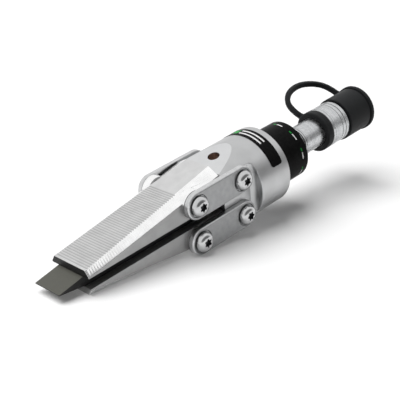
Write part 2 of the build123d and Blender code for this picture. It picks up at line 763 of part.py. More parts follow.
def all_pieces():
    """Node name to the list of its solids, in the tool's frame."""
    jaw = upper_jaw()
    front_screws = screws_at(link_front_x, 1)
    rear_screws = screws_at(link_rear_x, 1)
    pieces = {
        "head_body": [head_body()],
        "cylinder_barrel": [cylinder_barrel()],
        "sleeve_band": [sleeve_band()],
        "marking_band": [marking_band()],
        "rod_bush": [rod_bush()],
        "rod_wiper": [rod_wiper()],
        "spring_washer": [spring_washer()],
        "return_spring": [return_spring()],
        "rear_link_screws": rear_screws + [mirrored(screw) for screw in rear_screws],
        "wedge": [wedge()],
        "wedge_pin": [wedge_pin()],
        "piston_rod": [piston_rod()],
        "piston": [piston()],
        "piston_seal": [groove_ring(SEAL_GROOVE)],
        "piston_guide_ring": [groove_ring(GUIDE_GROOVE)],
        "piston_screw": [piston_screw()],
        "upper_jaw": [jaw],
        "upper_jaw_screws": front_screws,
        "lower_jaw": [mirrored(jaw)],
        "lower_jaw_screws": [mirrored(screw) for screw in front_screws],
        "coupler_nipple": [coupler_nipple()],
        "coupler_body": [coupler_body()],
        "coupler_poppet": [coupler_poppet()],
        "coupler_spring": [coupler_spring()],
        "strap_ring": [strap_ring()],
        "cap_strap": [cap_strap()],
        "dust_cap": [dust_cap()],
    }
    for level, level_name in ((1, "upper"), (-1, "lower")):
        for side, side_name in ((1, "left"), (-1, "right")):
            pieces[f"{level_name}_link_{side_name}"] = [link(side, level)]
    return pieces


def main():
    os.makedirs("parts", exist_ok=True)
    placement = tool_to_row()
    for name, solids in all_pieces().items():
        placed = [placement * solid for solid in solids]
        shape = placed[0] if len(placed) == 1 else Compound(children=placed)
        export_step(shape, f"parts/{name}.step")


main()
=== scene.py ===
# %% [markdown]
# # A hydraulic flange spreader
# Oil pushes a long black wedge out between two ridged jaws, and four links keep the jaws from
# running away, so they part and stay level. This lesson dresses the finished CAD model of that tool
# for a studio picture: some pieces keep their CAD mesh and get a finish, and the pieces whose edges,
# ridges or rubber shapes need more care are modelled again in place.

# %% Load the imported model
import json
import math

import bmesh
import bpy
from mathutils import Matrix, Vector


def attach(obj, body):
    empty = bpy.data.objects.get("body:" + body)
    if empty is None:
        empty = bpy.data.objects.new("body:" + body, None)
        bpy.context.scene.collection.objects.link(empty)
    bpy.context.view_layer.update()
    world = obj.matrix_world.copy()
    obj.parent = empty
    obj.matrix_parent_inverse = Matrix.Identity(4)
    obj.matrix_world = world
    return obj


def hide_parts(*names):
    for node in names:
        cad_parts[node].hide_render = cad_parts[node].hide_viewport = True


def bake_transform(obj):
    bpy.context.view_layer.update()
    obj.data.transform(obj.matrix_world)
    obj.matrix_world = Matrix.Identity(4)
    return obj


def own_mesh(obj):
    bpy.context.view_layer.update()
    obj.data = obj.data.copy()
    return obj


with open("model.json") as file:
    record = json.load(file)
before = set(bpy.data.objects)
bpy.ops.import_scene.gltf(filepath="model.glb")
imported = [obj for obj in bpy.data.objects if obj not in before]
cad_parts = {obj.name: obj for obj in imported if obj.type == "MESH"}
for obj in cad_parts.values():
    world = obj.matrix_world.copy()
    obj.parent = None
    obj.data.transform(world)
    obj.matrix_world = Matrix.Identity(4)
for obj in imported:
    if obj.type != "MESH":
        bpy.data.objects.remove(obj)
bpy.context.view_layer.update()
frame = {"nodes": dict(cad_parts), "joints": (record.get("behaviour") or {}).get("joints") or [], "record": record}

# %% [markdown]
# ## The tool's own frame
# The tool lies nose-down on its lower jaw, so its axis is tilted in the scene. Everything on it is
# easier to draw along a straight axis, in millimetres, and then to place with one matrix. The
# wedge's joint gives the direction of that axis, and the mouth of the hose coupler gives a point on
# it. In this frame the wedge's tip points to -X, and x = 0 is the rear rim of the round body.

# %% A matrix from the tool's millimetres to the scene's metres
MM = 0.001
NOSE_END = 103.9
joints = {joint["name"]: joint for joint in frame["joints"]}
mounts = {mount["name"]: mount for mount in frame["record"]["mounts"]}
rearward = -Vector(joints["wedge_advance"]["axis"])
across = Vector((0, 1, 0))
upward = rearward.cross(across)
tool_origin = Vector(mounts["hose_coupling"]["pos_m"]) - rearward * NOSE_END * MM
turn = Matrix((rearward, across, upward)).transposed()
TOOL = Matrix.Translation(tool_origin) @ turn.to_4x4() @ Matrix.Scale(MM, 4)
print("tool frame at", [round(value, 4) for value in tool_origin], "tilt",
      round(math.degrees(turn.to_euler().y), 2))

# %% [markdown]
# ## Camera
# The picture is taken from above and beside the wedge's tip with a long lens, so the tool shrinks
# only a little towards the coupler. The camera's place and the point it aims at are given in the
# tool's millimetres. A tracking quaternion turns its -Z to that point and keeps the picture level.
# The Standard view transform shows each colour as it is written.

# %% The camera
CAMERA_PLACE = Vector((-448.3, -432.2, 315.6))
CAMERA_AIM = Vector((-62.1, -0.2, -0.4))
CAMERA_LENS = 87.65


def new_object(name, data):
    thing = bpy.data.objects.new(name, data)
    bpy.context.scene.collection.objects.link(thing)
    return thing


def look_at(thing, place, target):
    """Puts a thing at a place and turns its -Z to a target."""
    thing.location = place
    thing.rotation_mode = "QUATERNION"
    thing.rotation_quaternion = (target - thing.location).to_track_quat("-Z", "Y")


camera_data = bpy.data.cameras.new("camera")
camera_data.lens = CAMERA_LENS
camera = new_object("camera", camera_data)
look_at(camera, TOOL @ CAMERA_PLACE, TOOL @ CAMERA_AIM)
bpy.context.scene.camera = camera
bpy.context.scene.view_settings.view_transform = "Standard"
print("camera", [round(value, 3) for value in camera.location])

# %% [markdown]
# ## Small helpers for materials
# Every finish here is a Principled shader fed by a few texture nodes. `add` makes one node and fills
# its sockets with values or links, which keeps a node tree readable as code. `tool_place` gives the
# shaded point in the tool's millimetres: a Mapping node set to TEXTURE undoes the tool's placement,
# so turned rings and ground lines follow the tool's axis and not the scene's. `new_finish` starts a
# finish and keeps it in a table, and `dress` links its colour, its roughness and its bump.

# %% Node helpers
finishes = {}


def add(tree, kind, inputs=None, **settings):
    """A new node with its settings, and its inputs filled with values or linked to outputs."""
    node = tree.nodes.new(kind)
    for name, value in settings.items():
        setattr(node, name, value)
    for name, value in (inputs or {}).items():
        if isinstance(value, bpy.types.NodeSocket):
            tree.links.new(value, node.inputs[name])
        else:
            node.inputs[name].default_value = value
    return node


def new_finish(name, metallic, specular=0.5):
    """The node tree of a new material, which is kept in the table of finishes."""
    material = bpy.data.materials.new(name)
    material.use_nodes = True
    shader = material.node_tree.nodes["Principled BSDF"]
    shader.inputs["Metallic"].default_value = metallic
    shader.inputs["Specular IOR Level"].default_value = specular
    finishes[name] = material
    return material.node_tree


def dress(tree, colour, roughness, height, depth):
    """Links a finish's colour and roughness, and bump from a height at its real depth in millimetres."""
    bump = add(tree, "ShaderNodeBump", {"Height": height, "Distance": depth * MM, "Strength": 1.0})
    shader = tree.nodes["Principled BSDF"]
    tree.links.new(colour, shader.inputs["Base Color"])
    tree.links.new(roughness, shader.inputs["Roughness"])
    tree.links.new(bump.outputs["Normal"], shader.inputs["Normal"])


def tool_place(tree, stretch=(1, 1, 1)):
    """The shaded point in the tool's millimetres, times a stretch along each axis."""
    place = add(tree, "ShaderNodeTexCoord").outputs["Object"]
    inputs = {"Vector": place, "Location": tool_origin, "Rotation": turn.to_euler(), "Scale": (MM, MM, MM)}
    place = add(tree, "ShaderNodeMapping", inputs, vector_type="TEXTURE").outputs["Vector"]
    return add(tree, "ShaderNodeMapping", {"Vector": place, "Scale": stretch}).outputs["Vector"]


def tool_axes(tree):
    """The shaded point's X, Y and Z in the tool's millimetres."""
    return add(tree, "ShaderNodeSeparateXYZ", {0: tool_place(tree)}).outputs


def noise(tree, scale, detail=3.0, roughness=0.5, distortion=0.0, stretch=(1, 1, 1)):
    """Soft random cloudiness from 0 to 1, at so many features to the millimetre."""
    inputs = {"Vector": tool_place(tree, stretch), "Scale": scale, "Detail": detail,
              "Roughness": roughness, "Distortion": distortion}
    return add(tree, "ShaderNodeTexNoise", inputs).outputs[0]


def remap(tree, value, low, high, start=0.3, end=0.7):
    """A value between start and end stretched to run from low to high."""
    inputs = {"Value": value, "From Min": start, "From Max": end, "To Min": low, "To Max": high}
    return add(tree, "ShaderNodeMapRange", inputs).outputs[0]


def maths(tree, operation, first, second=0.0):
    return add(tree, "ShaderNodeMath", {0: first, 1: second}, operation=operation).outputs[0]


def tints(tree, value, *stops):
    """A colour for each place of a value, blended between stops of (place, colour)."""
    ramp = add(tree, "ShaderNodeValToRGB", {"Fac": value})
    elements = ramp.color_ramp.elements
    while len(elements) < len(stops):
        elements.new(0.5)
    for element, (place, colour) in zip(elements, stops):
        element.position = place
        element.color = (*colour, 1)
    return ramp.outputs["Color"]


def grey(value, warmth=0.0):
    """A grey whose red and blue differ a little."""
    return (value + warmth, value, value - warmth)


def within(tree, value, low, high):
    """1 where a value lies between two limits, else 0."""
    above = maths(tree, "GREATER_THAN", value, low)
    return maths(tree, "MULTIPLY", above, maths(tree, "LESS_THAN", value, high))


def layered(tree, mask, below, above):
    """One colour over another where the mask is 1."""
    return add(tree, "ShaderNodeMixRGB", {"Fac": mask, "Color1": below, "Color2": above}).outputs["Color"]


def hypotenuse(tree, first, second):
    """The length of the slanted side over two values at a right angle."""
    squares = [maths(tree, "POWER", value, 2.0) for value in (first, second)]
    return maths(tree, "SQRT", maths(tree, "ADD", *squares))


# %% [markdown]
# ## Satin alloy for the body
# The body is turned from aluminium alloy and then blasted, so it reflects in soft gradients. Two
# things make it look like metal and not like grey paint: fine rings left by turning, which only
# depend on the place along the axis, and a very fine grain from blasting. Both go into roughness and
# bump, and the colour hardly changes. The two sloping flats are milled later and stay brighter. Only
# they lean back along the axis, so the axis and the face's normal tell them from the round body. The
# tapped hole is brown inside from old oil, so points under the flat and near its axis turn brown.

# %% Satin alloy
FLAT_SLOPE = math.radians(12.1)
FLAT_LEAN = -math.sin(FLAT_SLOPE)
LEAN_RANGE = 0.05
HOLE_X = -44.6
HOLE_REACH = 6.0
HOLE_TOP = 0.4
HOLE_DEPTH = 10.0
FLAT_AT_HOLE = 25.3
OIL_BROWN = (0.55, 0.45, 0.40, 1)


def satin_alloy():
    tree = new_finish("satin_alloy", 1.0)
    rings = noise(tree, 1.0, 4.0, 0.7, stretch=(6.0, 0.05, 0.05))
    grain = noise(tree, 7.0, 2.0, 0.6)
    clouds = noise(tree, 0.08)
    blasted = tints(tree, clouds, (0.3, grey(0.49, -0.004)), (0.7, grey(0.55, -0.004)))
    milled = tints(tree, clouds, (0.3, grey(0.65, -0.006)), (0.7, grey(0.70, -0.006)))
    normal = add(tree, "ShaderNodeNewGeometry").outputs["Normal"]
    lean = add(tree, "ShaderNodeVectorMath", {0: normal, 1: rearward}, operation="DOT_PRODUCT")
    on_flat = within(tree, lean.outputs["Value"], FLAT_LEAN - LEAN_RANGE, FLAT_LEAN + LEAN_RANGE)
    place = tool_axes(tree)
    behind_hole = maths(tree, "SUBTRACT", place["X"], HOLE_X)
    near_hole = maths(tree, "LESS_THAN", hypotenuse(tree, behind_hole, place["Y"]), HOLE_REACH)
    rise = maths(tree, "MULTIPLY", behind_hole, math.tan(FLAT_SLOPE))
    flat_height = maths(tree, "ADD", rise, FLAT_AT_HOLE)
    sunk = within(tree, maths(tree, "SUBTRACT", flat_height, place["Z"]), HOLE_TOP, HOLE_DEPTH)
    oiled = maths(tree, "MULTIPLY", near_hole, sunk)
    colour = layered(tree, oiled, layered(tree, on_flat, blasted, milled), OIL_BROWN)
    mixed = maths(tree, "MULTIPLY", maths(tree, "ADD", rings, grain), 0.5)
    dress(tree, colour, remap(tree, mixed, 0.30, 0.42), mixed, 0.003)


satin_alloy()

# %% [markdown]
# ## Ground steel for the jaws
# The jaws are ground along their length, which leaves fine straight lines from tip to heel. Noise
# that is stretched far along X gives such lines. The bevels beside the ridges are smoother than the
# rest and get a finish of their own, much lighter in colour, which is a painted highlight; the upright
# sides get a darker copy of the steel, which is painted shade. The grooves between the ridges get
# painted shade too: there the colour darkens with the depth below the jaw's outer face, which two Math
# nodes work out from the shaded point.

# %% Jaw steel, with a painted highlight on the bevel and painted shade on the sides
JAW_SLOPE = math.tan(math.radians(9.23))
BODY_FRONT = -58.6
HEEL_X = BODY_FRONT - 1.2
JAW_FRONT_X = HEEL_X - 114.5
JAW_FRONT_HEIGHT = 8.8
GRIP_DEPTH = 0.55
# The colour of the painted shade in the ridge grooves.
GROOVE_SHADE_COLOUR = (*grey(0.2), 1)


def ground_steel(name, colour, roughness, direction, depth):
    """Steel with grinding lines: direction stretches the noise, small along the lines."""
    tree = new_finish(name, 1.0)
    lines = noise(tree, 1.0, 5.0, 0.65, stretch=direction)
    clouds = noise(tree, 0.12, 2.0)
    shade = tints(tree, clouds, (0.3, grey(colour * 0.93)), (0.7, grey(colour * 1.05)))
    dress(tree, shade, remap(tree, lines, roughness - 0.07, roughness + 0.08), lines, depth)


def darken_in_grooves(name):
    """Painted shade between the jaw's ridges: the colour falls with the depth under the outer face."""
    tree = finishes[name].node_tree
    base_colour = tree.nodes["Principled BSDF"].inputs["Base Color"]
    clean = base_colour.links[0].from_socket
    place = tool_axes(tree)
    ahead = maths(tree, "SUBTRACT", place["X"], JAW_FRONT_X)
    outer = maths(tree, "ADD", maths(tree, "MULTIPLY", ahead, JAW_SLOPE), JAW_FRONT_HEIGHT)
    below = maths(tree, "SUBTRACT", outer, maths(tree, "ABSOLUTE", place["Z"]))
    # Painted shade: the grooves' colour darkens towards their bottom.
    inside = maths(tree, "LESS_THAN", below, GRIP_DEPTH + 0.02)
    groove_shade = maths(tree, "MULTIPLY", remap(tree, below, 0.0, 0.5, 0.1, GRIP_DEPTH), inside)
    tree.links.new(layered(tree, groove_shade, clean, GROOVE_SHADE_COLOUR), base_colour)


ground_steel("jaw_steel", 0.66, 0.34, (0.05, 4.0, 4.0), 0.003)
darken_in_grooves("jaw_steel")
# The bevel's much lighter colour is a painted highlight.
ground_steel("bevel_steel_painted_highlight", 0.94, 0.27, (0.04, 3.0, 3.0), 0.0004)
# The sides' darker copy of the steel is painted shade; the wedge pin shares it.
ground_steel("side_steel_painted_shade", 0.36, 0.42, (0.05, 3.0, 3.0), 0.003)

# %% [markdown]
# ## Black wedge steel
# The wedge is blackened. Its two sloping faces slide on the jaws, so the blackening there is rubbed
# to an olive-grey, and their lighter tone is also a painted highlight; its upright sides stay nearly
# black, which is painted shade. The face's own direction tells the two apart: the normal's upright
# part is large on a sloping face and nothing on a side. The same black finish is painted shade on the
# upper jaw's front face and inside the jaws' trough.

# %% Black wedge steel
WEDGE_BLACK = (0.006, 0.006, 0.006)
WEDGE_OLIVE = (0.098, 0.098, 0.084)


def black_wedge_steel():
    tree = new_finish("black_wedge_steel", 0.0, 0.3)
    normal = add(tree, "ShaderNodeNewGeometry").outputs["Normal"]
    upright = add(tree, "ShaderNodeSeparateXYZ", {0: normal}).outputs["Z"]
    sliding_and_lit = remap(tree, maths(tree, "ABSOLUTE", upright), 0.0, 1.0, 0.4, 0.8)
    rubbed = noise(tree, 1.0, 5.0, 0.65, stretch=(0.04, 2.2, 2.2))
    specks = noise(tree, 1.6, 4.0, 0.7)
    # Faces that look up get the lighter olive, rubbed wear and a painted highlight; upright sides stay near black,
    # painted shade.
    wear_and_light = maths(tree, "MULTIPLY", sliding_and_lit, remap(tree, rubbed, 0.78, 1.0))
    wear_and_light = maths(tree, "MULTIPLY", wear_and_light, remap(tree, specks, 0.85, 1.0))
    colour = tints(tree, wear_and_light, (0.0, WEDGE_BLACK), (1.0, WEDGE_OLIVE))
    dress(tree, colour, remap(tree, rubbed, 0.44, 0.58), maths(tree, "ADD", rubbed, specks), 0.008)


black_wedge_steel()

# %% [markdown]
# ## Link steel and screw steel
# The links are forged and tumbled, so they are satin all over with no direction in the grain; their
# flat faces get a darker copy of the steel, which is painted shade, and their rounded edges a lighter
# copy, a painted highlight. The screws are bright plated steel: smoother, with only a faint
# cloudiness, so that their domes catch small sharp highlights. Their recesses get a dark copy of the
# steel: painted shade, with some dirt.

# %% Link steel and screw steel
def tumbled_steel(name, colour, roughness, depth):
    tree = new_finish(name, 1.0)
    grain = noise(tree, 4.5, 4.0, 0.65)
    clouds = noise(tree, 0.3)
    shade = tints(tree, clouds, (0.3, grey(colour * 0.92, -0.004)), (0.7, grey(colour * 1.06, -0.004)))
    dress(tree, shade, remap(tree, grain, roughness - 0.06, roughness + 0.08), grain, depth)


# Link faces darker and rims lighter: painted shade and a painted highlight.
tumbled_steel("link_steel", 0.33, 0.36, 0.003)
tumbled_steel("link_rim_painted_highlight", 0.62, 0.3, 0.002)
tumbled_steel("screw_steel", 0.56, 0.13, 0.001)
# The recess finish is painted shade, with some dirt.
tumbled_steel("recess_painted_shade_and_dirt", 0.13, 0.4, 0.002)

# %% [markdown]
# ## Turned and scratched coupler steel
# The nipple and the collar have been handled: over their turning marks lie short scratches and dull
# patches. Rings come from noise that depends only on the place along the axis, scratches from
# stretched noise that is bent a little, and the patches from slow noise. The colour is darker in the
# turned grooves, which lie a little nearer to the axis than the surface around them.

# %% Coupler steel
NECK_RADIUS = 11.3
COLLAR_RADIUS = 15.4
GROOVE_DARK_TONE = (*grey(0.14), 1)


def coupler_steel():
    tree = new_finish("coupler_steel", 1.0)
    rings = noise(tree, 1.0, 4.0, 0.7, stretch=(2.2, 0.03, 0.03))
    scratches = noise(tree, 1.0, 6.0, 0.7, 1.0, stretch=(0.3, 0.9, 0.9))
    patches = noise(tree, 0.35, 4.0, 0.6)
    marks = maths(tree, "ADD", maths(tree, "MULTIPLY", rings, 0.6), maths(tree, "MULTIPLY", scratches, 0.4))
    shades = ((0.36, 0.40), (0.5, 0.56), (0.62, 0.70))
    colour = tints(tree, marks, *[(stop, grey(value, -0.01)) for stop, value in shades])
    place = tool_axes(tree)
    radius = hypotenuse(tree, place["Y"], place["Z"])
    # The colour is darker in the turned grooves.
    for surface in (NECK_RADIUS, COLLAR_RADIUS):
        in_groove = within(tree, radius, surface - 0.6, surface - 0.12)
        colour = layered(tree, in_groove, colour, GROOVE_DARK_TONE)
    dress(tree, colour, remap(tree, patches, 0.2, 0.38), marks, 0.006)


coupler_steel()

# %% [markdown]
# ## Blacks: anodised barrel, label and rubber
# Three blacks have to differ. The anodised barrel is a metal under a thin coat, the label is a smooth
# plastic film, and the rubber is dull with a moulded grain. The label's two bands carry plain
# stripes. They are drawn from the angle round the tool's axis, which an arctangent of the two cross
# directions gives, so they bend with the surface.

# %% Barrel and rubber
def black_alloy():
    tree = new_finish("black_alloy", 0.0, 0.3)
    rings = noise(tree, 1.0, 4.0, 0.7, stretch=(5.0, 0.05, 0.05))
    colour = tints(tree, rings, (0.3, grey(0.012)), (0.7, grey(0.03)))
    dress(tree, colour, remap(tree, rings, 0.34, 0.46), rings, 0.01)


def rubber(name, colour, roughness):
    tree = new_finish(name, 0.0, 0.15)
    grain = noise(tree, 3.0, 3.0, 0.6)
    dust = noise(tree, 0.25, 4.0, 0.6)
    shade = tints(tree, dust, (0.3, grey(colour * 0.8, -0.0008)), (0.7, grey(colour * 1.25, -0.0008)))
    dress(tree, shade, remap(tree, dust, roughness - 0.06, roughness + 0.08), grain, 0.02)


black_alloy()
rubber("cap_rubber", 0.013, 0.55)
rubber("seal_rubber", 0.014, 0.42)


# %% Label with plain stripes
def label(name, stripes):
    """Black film with plain stripes: (x from, x to, degrees from, degrees to, colour) in the tool's frame."""
    tree = new_finish(name, 0.0, 0.03)
    place = tool_axes(tree)
    angle = maths(tree, "ARCTAN2", place["Y"], place["Z"])
    degrees = maths(tree, "MULTIPLY", angle, 180 / math.pi)
    haze = noise(tree, 0.5, 4.0)
    colour = tints(tree, haze, (0.3, grey(0.004)), (0.7, grey(0.008)))
    for x_from, x_to, from_degrees, to_degrees, ink in stripes:
        along = within(tree, place["X"], x_from, x_to)
        around = within(tree, degrees, from_degrees, to_degrees)
        colour = layered(tree, maths(tree, "MULTIPLY", along, around), colour, (*ink, 1))
    dress(tree, colour, remap(tree, haze, 0.28, 0.42), noise(tree, 2.0), 0.006)


WHITE_INK = (0.78, 0.78, 0.78)
GREEN_INK = (0.02, 0.30, 0.05)
body_stripes = [
    (-13.4, -8.4, 14, 24, GREEN_INK),
    (-13.4, -12.0, -30, 11, WHITE_INK),
    (-9.8, -8.4, -30, 11, WHITE_INK),
]
barrel_stripes = []
for start_degrees in range(-170, 180, 40):
    barrel_stripes.append((21.6, 22.6, start_degrees, start_degrees + 14, WHITE_INK))
    barrel_stripes.append((21.6, 22.6, start_degrees + 16, start_degrees + 22, GREEN_INK))
label("body_label", body_stripes)
label("barrel_label", barrel_stripes)

# %% [markdown]
# ## Finishes of the pieces inside
# The rod, piston, springs, bush and seals show only when the wedge is driven out or the cap is off,
# but they are finished as carefully: a ground rod with its crosswise polish, drawn spring wire and
# bearing bronze with a turned sheen.

# %% Inner finishes
def bronze():
    tree = new_finish("bronze", 1.0)
    rings = noise(tree, 1.0, 4.0, 0.7, stretch=(5.0, 0.1, 0.1))
    colour = tints(tree, rings, (0.3, (0.5, 0.33, 0.14)), (0.7, (0.68, 0.48, 0.22)))
    dress(tree, colour, remap(tree, rings, 0.28, 0.42), rings, 0.008)


bronze()
ground_steel("rod_steel", 0.66, 0.2, (4.0, 0.1, 0.1), 0.004)
tumbled_steel("spring_steel", 0.3, 0.33, 0.01)
print("finishes", len(finishes))

# %% [markdown]
# ## Pieces that keep their CAD mesh
# The body, barrel, labels and the whole inside of the cylinder already have their true shape. They
# only get a finish. Their mesh is loose triangles, so smooth shading comes from the normals that
# were packed with it, and nothing here moves or edits a vertex.

# %% Dress the CAD nodes
KEPT_NODES = {
    "satin_alloy": ["head_body"],
    "black_alloy": ["cylinder_barrel"],
    "body_label": ["marking_band"],
    "barrel_label": ["sleeve_band"],
    "rod_steel": ["piston_rod", "piston", "spring_washer"],
    "side_steel_painted_shade": ["wedge_pin"],
    "bronze": ["rod_bush", "piston_guide_ring"],
    "seal_rubber": ["rod_wiper", "piston_seal"],
    "screw_steel": ["piston_screw"],
    "coupler_steel": ["coupler_poppet"],
}
for finish_name, node_names in KEPT_NODES.items():
    for node_name in node_names:
        data = frame["nodes"][node_name].data
        data.materials.clear()
        data.materials.append(finishes[finish_name])
print("dressed", sum(len(names) for names in KEPT_NODES.values()), "CAD nodes")

# %% [markdown]
# ## Small helpers for modelling
# A turned part starts as a chain of corners in one half of its section. Bevelling a corner of that
# chain rounds it, and spinning the chain about the X axis makes the solid. Pieces that meet at odd
# angles are joined or cut with the exact boolean. It gives its corners in another order each run, and
# merging doubles depends on that order, so they are first put in order along a slanting line.
# `finish_piece` is the last step of each piece: it applies the tool's matrix, shades the mesh, ties
# it to its body, and puts it in a CAD node's place.

# %% Modelling helpers
FINE_STEPS = 96
FULL_TURN = 2 * math.pi
SAME_CORNER = 0.0005
SORTING_LINE = Vector((1, 0.37, 0.0713))


def tidy(mesh):
    """Merges doubles and turns all faces outwards."""
    bmesh.ops.remove_doubles(mesh, verts=mesh.verts, dist=SAME_CORNER)
    bmesh.ops.recalc_face_normals(mesh, faces=mesh.faces)
    return mesh


def turned(corners, steps=FINE_STEPS):
    """A solid spun about X from corners of (x, radius) or (x, radius, rounding)."""
    mesh = bmesh.new()
    chain = [mesh.verts.new((x, 0, radius)) for x, radius, *rounding in corners]
    pairs = list(zip(chain, chain[1:]))
    if corners[0][1] > 0 or corners[-1][1] > 0:
        pairs.append((chain[-1], chain[0]))
    for pair in pairs:
        mesh.edges.new(pair)
    for vertex, (x, radius, *rounding) in zip(chain, corners):
        if rounding:
            bmesh.ops.bevel(mesh, geom=[vertex], offset=rounding[0], offset_type="OFFSET", segments=4,
                            profile=0.5, affect="VERTICES", material=-1)
    bmesh.ops.spin(mesh, geom=mesh.verts[:] + mesh.edges[:], cent=(0, 0, 0), axis=(1, 0, 0),
                   dvec=(0, 0, 0), angle=FULL_TURN, steps=steps, use_merge=True)
    return tidy(mesh)


def as_data(name, mesh):
    """Mesh data for an object. The bmesh is used up."""
    data = bpy.data.meshes.new(name)
    mesh.to_mesh(data)
    mesh.free()
    return data


def combined(mesh, other, operation):
    """Both meshes joined (UNION) or the second taken out of the first (DIFFERENCE)."""
    kept, tool = [new_object("loose", as_data("loose", solid)) for solid in (mesh, other)]
    boolean = kept.modifiers.new("boolean", "BOOLEAN")
    boolean.solver = "EXACT"
    boolean.operation = operation
    boolean.object = tool
    bpy.context.view_layer.update()
    result = bmesh.new()
    result.from_object(kept, bpy.context.evaluated_depsgraph_get())
    for thing in (kept, tool):
        data = thing.data
        bpy.data.objects.remove(thing)
        bpy.data.meshes.remove(data)
    result.verts.sort(key=lambda vertex: vertex.co.dot(SORTING_LINE))
    result.faces.sort(key=lambda face: face.calc_center_median().dot(SORTING_LINE))
    return tidy(result)


def joined(*meshes):
    """Several separate solids in one mesh."""
    whole = bmesh.new()
    for mesh in meshes:
        data = as_data("part", mesh)
        whole.from_mesh(data)
        bpy.data.meshes.remove(data)
    return whole


def pulled_out(mesh, faces, vec):
    """Extrudes faces along a vector and gives the new corners."""
    grown = bmesh.ops.extrude_face_region(mesh, geom=faces)["geom"]
    new_verts = [item for item in grown if isinstance(item, bmesh.types.BMVert)]
    bmesh.ops.translate(mesh, vec=vec, verts=new_verts)
    return new_verts


def moved(mesh, matrix):
    bmesh.ops.transform(mesh, matrix=matrix, verts=mesh.verts)
    return mesh


def softened(mesh, edges, offset, segments=3):
    bmesh.ops.bevel(mesh, geom=edges, offset=offset, offset_type="OFFSET", segments=segments,
                    profile=0.5, affect="EDGES", clamp_overlap=True, material=-1)
    return mesh


def outward(x, y, z, side):
    """A matrix that turns local +X to the tool's side, 1 for +Y and -1 for -Y, at a point."""
    columns = Matrix(((0, side, 0), (-side, 0, 0), (0, 0, 1))).transposed()
    return Matrix.Translation((x, y, z)) @ columns.to_4x4()


SMOOTH_ANGLE = math.radians(32)


def finish_piece(mesh, name, node, body, *materials):
    """A piece in a CAD node's place, from a mesh in the tool's millimetres."""
    piece = new_object(name, as_data(name, moved(mesh, TOOL)))
    data = piece.data
    for material in materials:
        data.materials.append(finishes[material])
    data.shade_smooth()
    data.set_sharp_from_angle(angle=SMOOTH_ANGLE)
    piece.modifiers.new("weighted", "WEIGHTED_NORMAL").keep_sharp = True
    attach(piece, body)
    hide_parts(node)
    print(name, "faces", len(data.polygons))
    return piece


# %% [markdown]
# ## The jaws
# Each jaw is a long trough that straddles the wedge. Its outer face carries crosswise ridges, and a
# bright bevel falls away to each side. The section is drawn once at the front and once at the heel,
# with straight walls between them. The ridges come next: planes slice the jaw at every crest and
# root, and the top corners at each root drop by the groove's depth, along the bevel, so the bevels
# stay flat. Last come the round bosses that carry the links.

# %% Sizes that the jaws, wedge and links share
JAW_WALL = 5.14
HALF_SLOT = 3.6
WEDGE_WIDTH = 23.8
SLIDING_GAP = 0.3
CHANNEL_HALF = WEDGE_WIDTH / 2 + SLIDING_GAP
LINK_WIDTH = 19.4
LINK_SPAN = 41.8
LINK_THICKNESS = 4.0
LINK_Z = HALF_SLOT + LINK_WIDTH / 2
LINK_REAR_X = BODY_FRONT + 15.4
LINK_FRONT_X = LINK_REAR_X - LINK_SPAN
SIDE_FLAT = 20.0
LINK_INNER = SIDE_FLAT + SLIDING_GAP
HEAD_SEAT = LINK_INNER + LINK_THICKNESS + SLIDING_GAP
THREAD_RADIUS = 4.0
EDGE_BREAK = 0.3
GRIP_MARGIN = 1.5
GRIP_PITCH = 1.9
GRIP_COUNT = 42


def jaw_outer(x):
    """Height of a jaw's outer face above the tool's axis."""
    return JAW_FRONT_HEIGHT + JAW_SLOPE * (x - JAW_FRONT_X)


def between(x, front, heel):
    """A size that changes evenly from the jaw's front to its heel."""
    return front + (heel - front) * (x - JAW_FRONT_X) / (HEEL_X - JAW_FRONT_X)


def top_half(x):
    return between(x, 14.8, 10.1)


def side_half(x):
    return between(x, 17.9, 18.7)


def bevel_drop(x):
    return between(x, 4.3, 4.8)


def jaw_section(x):
    """The ten corners of the upper jaw's section."""
    half = [
        (top_half(x), jaw_outer(x)),
        (side_half(x), jaw_outer(x) - bevel_drop(x)),
        (side_half(x), HALF_SLOT),
        (CHANNEL_HALF, HALF_SLOT),
        (CHANNEL_HALF, jaw_outer(x) - JAW_WALL),
    ]
    return [(x, y, z) for y, z in half] + [(x, -y, z) for y, z in reversed(half)]


# %% The jaw's plain trough, with softened outer edges
def on_outside(vertex):
    x, y, z = vertex.co
    return abs(y) > CHANNEL_HALF + 1 or z > jaw_outer(x) - 1


def plain_jaw():
    mesh = bmesh.new()
    front = [mesh.verts.new(corner) for corner in jaw_section(JAW_FRONT_X)]
    bmesh.ops.extrude_face_region(mesh, geom=[mesh.faces.new(front)])
    for vertex, heel_corner in zip(front, jaw_section(HEEL_X)):
        partner = [edge.other_vert(vertex) for edge in vertex.link_edges]
        partner = [other for other in partner if other not in front][0]
        partner.co = heel_corner
    tidy(mesh)
    edges = [edge for edge in mesh.edges if all(on_outside(vertex) for vertex in edge.verts)]
    return softened(mesh, edges, EDGE_BREAK, 2)


# %% The ridges
def cut_ridges(mesh):
    start = JAW_FRONT_X + GRIP_MARGIN
    crests = [start + index * GRIP_PITCH for index in range(GRIP_COUNT + 1)]
    roots = [crest + GRIP_PITCH / 2 for crest in crests[:-1]]
    for x in crests + roots:
        everything = mesh.verts[:] + mesh.edges[:] + mesh.faces[:]
        bmesh.ops.bisect_plane(mesh, geom=everything, plane_co=(x, 0, 0), plane_no=(1, 0, 0))
    for vertex in mesh.verts:
        x, y, z = vertex.co
        at_root = any(abs(x - root) < GRIP_PITCH / 10 for root in roots)
        if at_root and z > jaw_outer(x) - GRIP_DEPTH:
            edge_slope = (side_half(x) - top_half(x)) / bevel_drop(x)
            vertex.co.y = math.copysign(top_half(x) + GRIP_DEPTH * edge_slope, y)
            vertex.co.z = jaw_outer(x) - GRIP_DEPTH
    return tidy(mesh)


